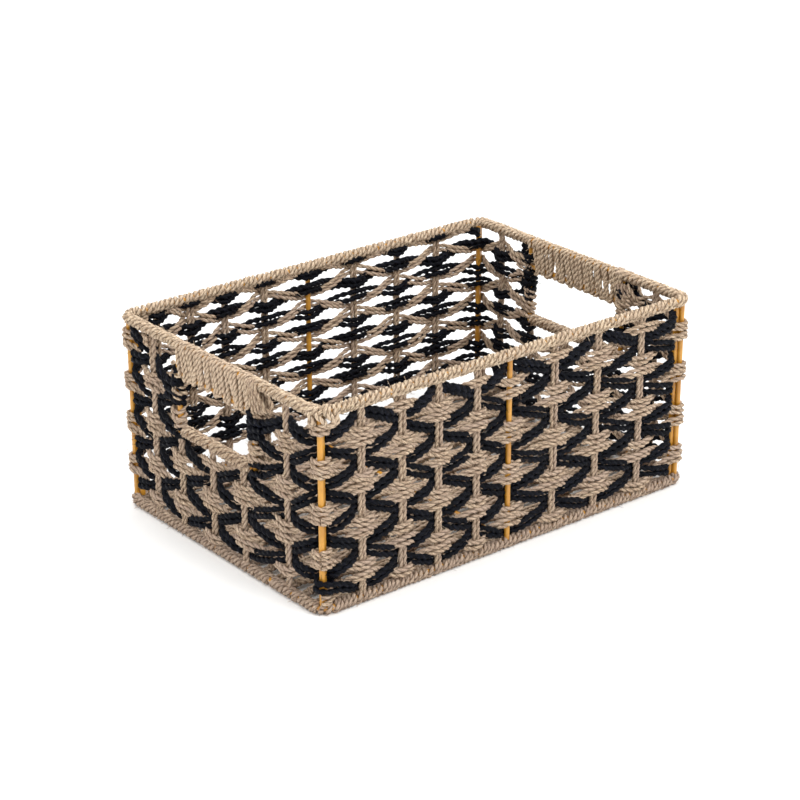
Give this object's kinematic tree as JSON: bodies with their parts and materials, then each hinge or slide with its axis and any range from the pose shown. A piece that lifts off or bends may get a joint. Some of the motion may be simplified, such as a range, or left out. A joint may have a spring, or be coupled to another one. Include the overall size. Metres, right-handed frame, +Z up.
{
  "type": "storage basket",
  "caption": "Open rectangular storage basket: wire frame twined with natural and black seagrass cord, wrapped rims, and a wrapped grip over a hand opening in each short wall.",
  "frame": {"origin": "on the surface that the basket stands on, under the middle of its box", "axes": "+X along the long walls, +Y along the short walls from the front wall to the back wall, +Z up out of the open top"},
  "size_m": [0.3304, 0.2294, 0.1439],
  "materials": {
    "wire_paint": "semi-gloss ochre lacquer on bent steel wire",
    "natural_seagrass": "dry twisted seagrass cord, matt, natural tan",
    "rim_seagrass": "dry twisted seagrass cord wound closely, matt, pale tan",
    "black_seagrass": "dyed twisted seagrass cord, blue-black, slight sheen"
  },
  "bodies": {
    "root": {"top_rim_wire": "wire_paint", "bottom_rim_wire": "wire_paint", "corner_wires_front_left": "wire_paint", "corner_wires_front_right": "wire_paint", "corner_wires_back_right": "wire_paint", "corner_wires_back_left": "wire_paint", "mid_post_front": "wire_paint", "mid_post_back": "wire_paint", "handle_post_left_front": "wire_paint", "handle_post_left_back": "wire_paint", "handle_post_right_front": "wire_paint", "handle_post_right_back": "wire_paint", "grip_wire_left": "wire_paint", "grip_wire_right": "wire_paint", "sill_wire_left": "wire_paint", "sill_wire_right": "wire_paint", "floor_wire": "wire_paint", "top_rim_wrap_front": "rim_seagrass", "top_rim_wrap_back": "rim_seagrass", "bottom_rim_wrap": "rim_seagrass", "grip_wrap_left": "rim_seagrass", "grip_wrap_right": "rim_seagrass", "sill_wrap_left": "rim_seagrass", "sill_wrap_right": "rim_seagrass", "warps_front": "natural_seagrass", "warps_back": "natural_seagrass", "warps_left": "natural_seagrass", "warps_right": "natural_seagrass", "natural_weave_front": "natural_seagrass", "natural_weave_back": "natural_seagrass", "natural_weave_left_low": "natural_seagrass", "natural_weave_left_front": "natural_seagrass", "natural_weave_left_back": "natural_seagrass", "natural_weave_right_low": "natural_seagrass", "natural_weave_right_front": "natural_seagrass", "natural_weave_right_back": "natural_seagrass", "black_weave_front": "black_seagrass", "black_weave_back": "black_seagrass", "black_weave_left_low": "black_seagrass", "black_weave_left_front": "black_seagrass", "black_weave_left_back": "black_seagrass", "black_weave_right_low": "black_seagrass", "black_weave_right_front": "black_seagrass", "black_weave_right_back": "black_seagrass", "floor_warps": "natural_seagrass", "floor_weave": "natural_seagrass"}
  },
  "joints": []
}
